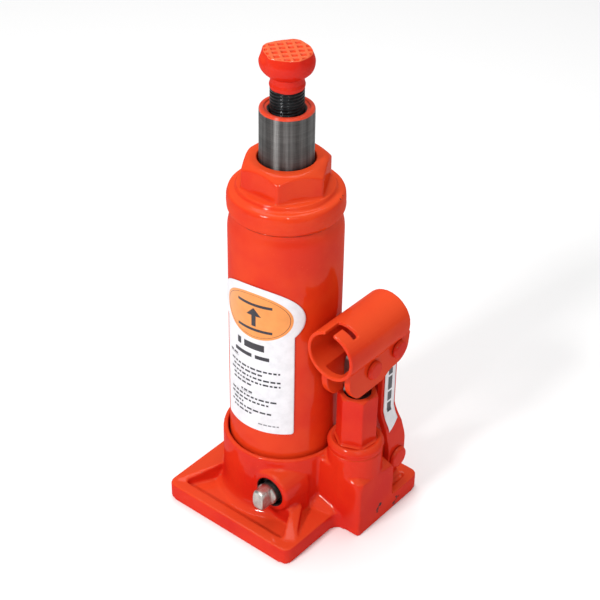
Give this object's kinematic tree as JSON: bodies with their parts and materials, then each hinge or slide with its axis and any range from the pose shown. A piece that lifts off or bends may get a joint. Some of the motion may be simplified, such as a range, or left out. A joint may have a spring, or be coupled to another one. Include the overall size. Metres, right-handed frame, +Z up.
{
  "type": "hydraulic bottle jack",
  "caption": "Hydraulic bottle jack with a ram, extension screw, release valve and a hand pump with a lever socket on links.",
  "frame": {"origin": "on the ram's axis at the underside of the base", "axes": "+Z up along the ram, +X towards the pump, -Y towards the release valve and the lever socket's mouth"},
  "size_m": [0.0894, 0.0856, 0.2353],
  "materials": {
    "red_paint": "glossy orange-red enamel over a sand casting and steel",
    "machined_steel": "ground and polished",
    "plain_steel": "plain, oiled",
    "saddle_paint": "forged head dipped in orange-red enamel over a black threaded stem",
    "black_rubber": "nitrile",
    "copper": "annealed",
    "zinc": "zinc plated, some overspray",
    "label": "white vinyl label"
  },
  "bodies": {
    "base": {"base_casting": "red_paint", "reservoir_tube": "red_paint", "lower_gasket": "black_rubber", "upper_gasket": "black_rubber", "top_nut": "red_paint", "ram_wiper": "black_rubber", "cylinder_gasket": "copper", "pressure_cylinder": "plain_steel", "filler_plug": "black_rubber", "release_ball": "machined_steel", "pump_cylinder": "red_paint", "pump_washer": "copper", "pump_gland": "black_rubber", "lug_pin": "red_paint", "lug_pin_clip": "plain_steel", "suction_ball": "machined_steel", "delivery_ball": "machined_steel", "delivery_spring": "plain_steel", "delivery_plug": "red_paint", "relief_ball": "machined_steel", "relief_spring": "plain_steel", "relief_screw": "red_paint", "reservoir_label": "label"},
    "ram": {"ram": "machined_steel", "ram_cup_seal": "black_rubber", "ram_seal_nut": "plain_steel"},
    "screw_carriage": {"screw_stop_ring": "plain_steel"},
    "extension_screw": {"extension_screw": "saddle_paint"},
    "valve_carriage": {"valve_oring": "black_rubber"},
    "release_valve": {"release_valve": "zinc"},
    "plunger": {"pump_plunger": "machined_steel", "plunger_seal": "black_rubber"},
    "handle_socket": {"handle_socket": "red_paint", "plunger_pin": "red_paint", "plunger_pin_clip": "plain_steel", "link_pin": "red_paint", "link_pin_clip": "plain_steel"},
    "links": {"link_left": "red_paint", "link_right": "red_paint", "link_label": "label"}
  },
  "joints": [
    {"name": "ram_slide", "type": "slide", "parent": "base", "child": "ram", "axis": [0, 0, 1], "range_m": [-0.0215, 0.097]},
    {"name": "screw_travel", "type": "slide", "parent": "ram", "child": "screw_carriage", "axis": [0, 0, 1], "range_m": [-0.009, 0.042]},
    {"name": "screw_turn", "type": "hinge", "parent": "screw_carriage", "child": "extension_screw", "pos_m": [0, 0, 0.2], "axis": [0, 0, 1], "range_deg": [-1080, 5040]},
    {"name": "valve_travel", "type": "slide", "parent": "base", "child": "valve_carriage", "axis": [0, -1, 0], "range_m": [0, 0.00225]},
    {"name": "valve_turn", "type": "hinge", "parent": "valve_carriage", "child": "release_valve", "pos_m": [0.016, -0.03, 0.0225], "axis": [0, -1, 0], "range_deg": [0, 540]},
    {"name": "plunger_stroke", "type": "slide", "parent": "base", "child": "plunger", "axis": [0, 0, 1], "range_m": [0, 0.0121]},
    {"name": "socket_tilt", "type": "hinge", "parent": "plunger", "child": "handle_socket", "pos_m": [0.03961, 0.0048, 0.0913], "axis": [-1, 0, 0], "range_deg": [0, 40]},
    {"name": "link_swing", "type": "hinge", "parent": "base", "child": "links", "pos_m": [0.03961, 0.0284, 0.0241], "axis": [1, 0, 0], "range_deg": [0, 2.4]}
  ],
  "couplings": [
    {"joint": "screw_travel", "follows": "screw_turn", "m_per_rad": 0.00047746},
    {"joint": "valve_travel", "follows": "valve_turn", "m_per_rad": 0.00023873},
    {"joint": "socket_tilt", "follows": "plunger_stroke", "rad_per_m": 57.54},
    {"joint": "link_swing", "follows": "plunger_stroke", "rad_per_m": 3.32}
  ]
}
